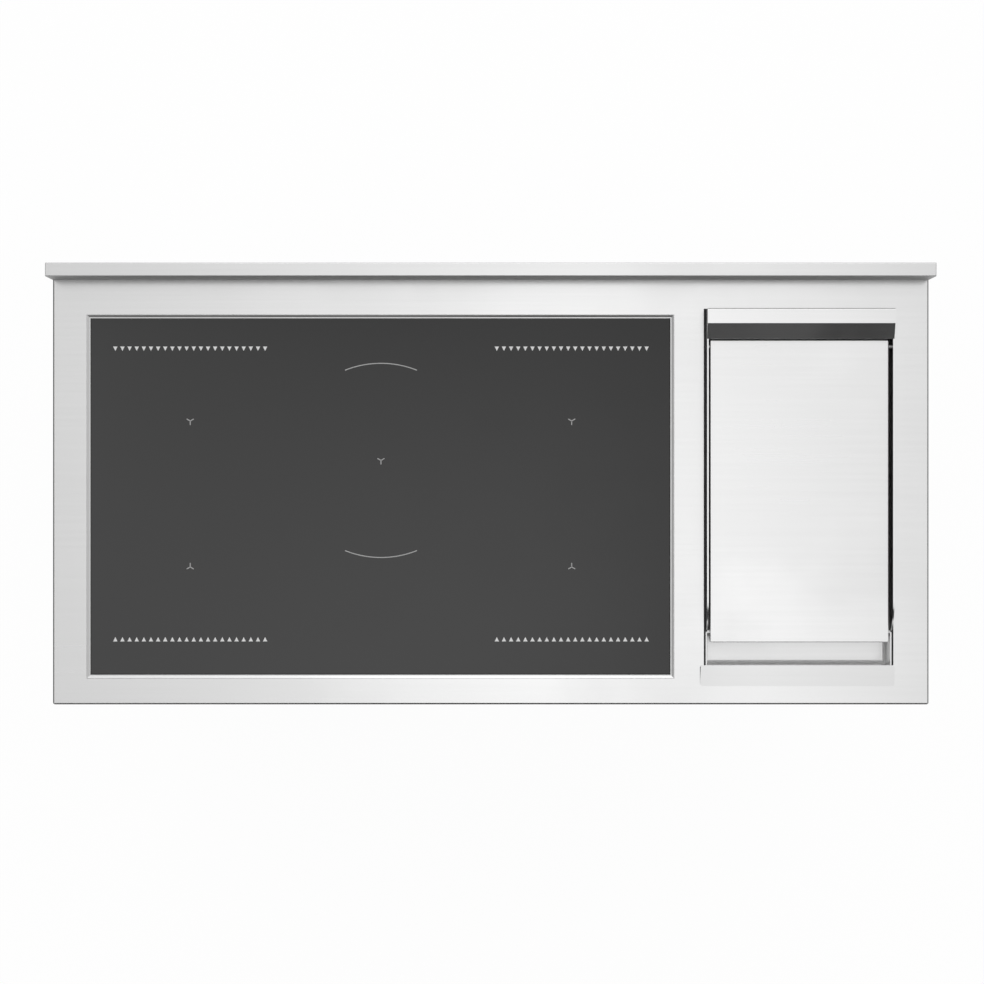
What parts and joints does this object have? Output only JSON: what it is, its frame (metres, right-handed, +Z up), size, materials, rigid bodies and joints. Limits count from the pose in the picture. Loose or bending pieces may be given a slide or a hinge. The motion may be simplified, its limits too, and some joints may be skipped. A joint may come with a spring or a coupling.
{
  "type": "induction range cooker",
  "caption": "Freestanding induction range cooker with a brushed steel worktop, black glass hob, lidded griddle, side-by-side ovens with drop-down doors, storage drawer and rotary knobs.",
  "frame": {"origin": "floor level, under the middle of the worktop", "axes": "+X to the cook's right, +Y to the rear, +Z up"},
  "size_m": [1.2, 0.6, 0.947],
  "materials": {
    "worktop_steel": "brushed along the width",
    "front_steel": "brushed along the width",
    "frame_steel": "polished bevel",
    "handle_steel": "satin",
    "hob_glass": "black ceramic glass with white printed marks",
    "door_glass": "smoked",
    "display_glass": "black with plain digits",
    "griddle_steel": "ground cooking surface",
    "casing_paint": "fine textured paint",
    "zinc_sheet": "zinc coated sheet",
    "enamel": "speckled vitreous enamel",
    "drawer_steel": "satin paint",
    "bright_wire": "bright plated wire",
    "pin_steel": "plain",
    "dial_chrome": "bright",
    "knob_metal": "satin anodised",
    "element_sheath": "dark oxidised sheath",
    "copper_litz": "varnished copper strands",
    "board_green": "circuit board",
    "black_plastic": "moulded",
    "motor_metal": "zinc coated",
    "mineral_wool": "loose fibre blanket",
    "seal_rubber": "matte silicone"
  },
  "bodies": {
    "cooker": {"worktop": "worktop_steel", "backguard": "worktop_steel", "glass_frame": "frame_steel", "ceramic_glass": "hob_glass", "induction_coils": "copper_litz", "induction_tray": "zinc_sheet", "induction_boards": "board_green", "griddle_tub": "worktop_steel", "splash_guard": "worktop_steel", "griddle_plate": "griddle_steel", "griddle_elements": "element_sheath", "lid_hinge_pins": "pin_steel", "left_side_panel": "casing_paint", "right_side_panel": "casing_paint", "rear_panel": "zinc_sheet", "base_frame": "zinc_sheet", "oven_divider": "zinc_sheet", "front_frame": "enamel", "plinth": "front_steel", "leg_sleeves": "pin_steel", "terminal_box": "zinc_sheet", "panel_screws": "pin_steel", "control_panel": "front_steel", "dial_rings": "dial_chrome", "clock_display": "display_glass", "control_switches": "black_plastic", "main_oven_cavity": "enamel", "second_oven_cavity": "enamel", "oven_insulation": "mineral_wool", "shelf_rails": "bright_wire", "oven_shelves": "bright_wire", "oven_elements": "element_sheath", "fan_cover": "enamel", "fan_motor": "motor_metal", "door_gaskets": "seal_rubber", "drawer_runners": "zinc_sheet"},
    "lid": {"griddle_lid": "worktop_steel"},
    "main_door": {"main_door_panel": "front_steel", "main_door_glass": "door_glass", "main_door_liner": "enamel", "main_door_handle": "handle_steel"},
    "second_door": {"second_door_panel": "front_steel", "second_door_glass": "door_glass", "second_door_liner": "enamel", "second_door_handle": "handle_steel"},
    "drawer": {"drawer_box": "drawer_steel", "drawer_front": "front_steel", "drawer_handle": "handle_steel"},
    "feet": {"levelling_feet": "black_plastic"},
    "oven_fan_rotor": {"oven_fan": "motor_metal"},
    "cooling_fan": {"cooling_fan_rotor": "black_plastic"},
    "knob_main_function": {"knob_main_function": "knob_metal"},
    "knob_main_temperature": {"knob_main_temperature": "knob_metal"},
    "knob_zone_rear_left": {"knob_zone_rear_left": "knob_metal"},
    "knob_zone_front_left": {"knob_zone_front_left": "knob_metal"},
    "knob_zone_centre": {"knob_zone_centre": "knob_metal"},
    "knob_zone_front_right": {"knob_zone_front_right": "knob_metal"},
    "knob_zone_rear_right": {"knob_zone_rear_right": "knob_metal"},
    "knob_griddle": {"knob_griddle": "knob_metal"},
    "knob_second_oven": {"knob_second_oven": "knob_metal"}
  },
  "joints": [
    {"name": "lid_hinge", "type": "hinge", "parent": "cooker", "child": "lid", "pos_m": [0.4216, 0.1902, 0.903], "axis": [-1, 0, 0], "range_deg": [0, 100]},
    {"name": "main_door_hinge", "type": "hinge", "parent": "cooker", "child": "main_door", "pos_m": [-0.202, -0.24, 0.272], "axis": [1, 0, 0], "range_deg": [0, 90], "stiffness_Nm_per_rad": 8, "springref_deg": -34.38},
    {"name": "second_door_hinge", "type": "hinge", "parent": "cooker", "child": "second_door", "pos_m": [0.395, -0.24, 0.272], "axis": [1, 0, 0], "range_deg": [0, 90], "stiffness_Nm_per_rad": 4, "springref_deg": -34.38},
    {"name": "drawer_slide", "type": "slide", "parent": "cooker", "child": "drawer", "axis": [0, -1, 0], "range_m": [0, 0.35]},
    {"name": "feet_height", "type": "slide", "parent": "cooker", "child": "feet", "axis": [0, 0, -1], "range_m": [0, 0.03]},
    {"name": "oven_fan_spin", "type": "hinge", "parent": "cooker", "child": "oven_fan_rotor", "pos_m": [-0.20128, 0.2, 0.493], "axis": [0, 1, 0], "continuous": true},
    {"name": "cooling_fan_spin", "type": "hinge", "parent": "cooker", "child": "cooling_fan", "pos_m": [-0.1504, -0.1295, 0.865], "axis": [0, 0, 1], "continuous": true},
    {"name": "turn_main_function", "type": "hinge", "parent": "cooker", "child": "knob_main_function", "pos_m": [-0.495, -0.27, 0.8005], "axis": [0, 1, 0], "range_deg": [0, 300]},
    {"name": "turn_main_temperature", "type": "hinge", "parent": "cooker", "child": "knob_main_temperature", "pos_m": [-0.385, -0.27, 0.8005], "axis": [0, 1, 0], "range_deg": [0, 300]},
    {"name": "turn_zone_rear_left", "type": "hinge", "parent": "cooker", "child": "knob_zone_rear_left", "pos_m": [-0.165, -0.27, 0.8005], "axis": [0, 1, 0], "range_deg": [0, 300]},
    {"name": "turn_zone_front_left", "type": "hinge", "parent": "cooker", "child": "knob_zone_front_left", "pos_m": [-0.055, -0.27, 0.8005], "axis": [0, 1, 0], "range_deg": [0, 300]},
    {"name": "turn_zone_centre", "type": "hinge", "parent": "cooker", "child": "knob_zone_centre", "pos_m": [0.055, -0.27, 0.8005], "axis": [0, 1, 0], "range_deg": [0, 300]},
    {"name": "turn_zone_front_right", "type": "hinge", "parent": "cooker", "child": "knob_zone_front_right", "pos_m": [0.165, -0.27, 0.8005], "axis": [0, 1, 0], "range_deg": [0, 300]},
    {"name": "turn_zone_rear_right", "type": "hinge", "parent": "cooker", "child": "knob_zone_rear_right", "pos_m": [0.275, -0.27, 0.8005], "axis": [0, 1, 0], "range_deg": [0, 300]},
    {"name": "turn_griddle", "type": "hinge", "parent": "cooker", "child": "knob_griddle", "pos_m": [0.385, -0.27, 0.8005], "axis": [0, 1, 0], "range_deg": [0, 300]},
    {"name": "turn_second_oven", "type": "hinge", "parent": "cooker", "child": "knob_second_oven", "pos_m": [0.495, -0.27, 0.8005], "axis": [0, 1, 0], "range_deg": [0, 300]}
  ]
}
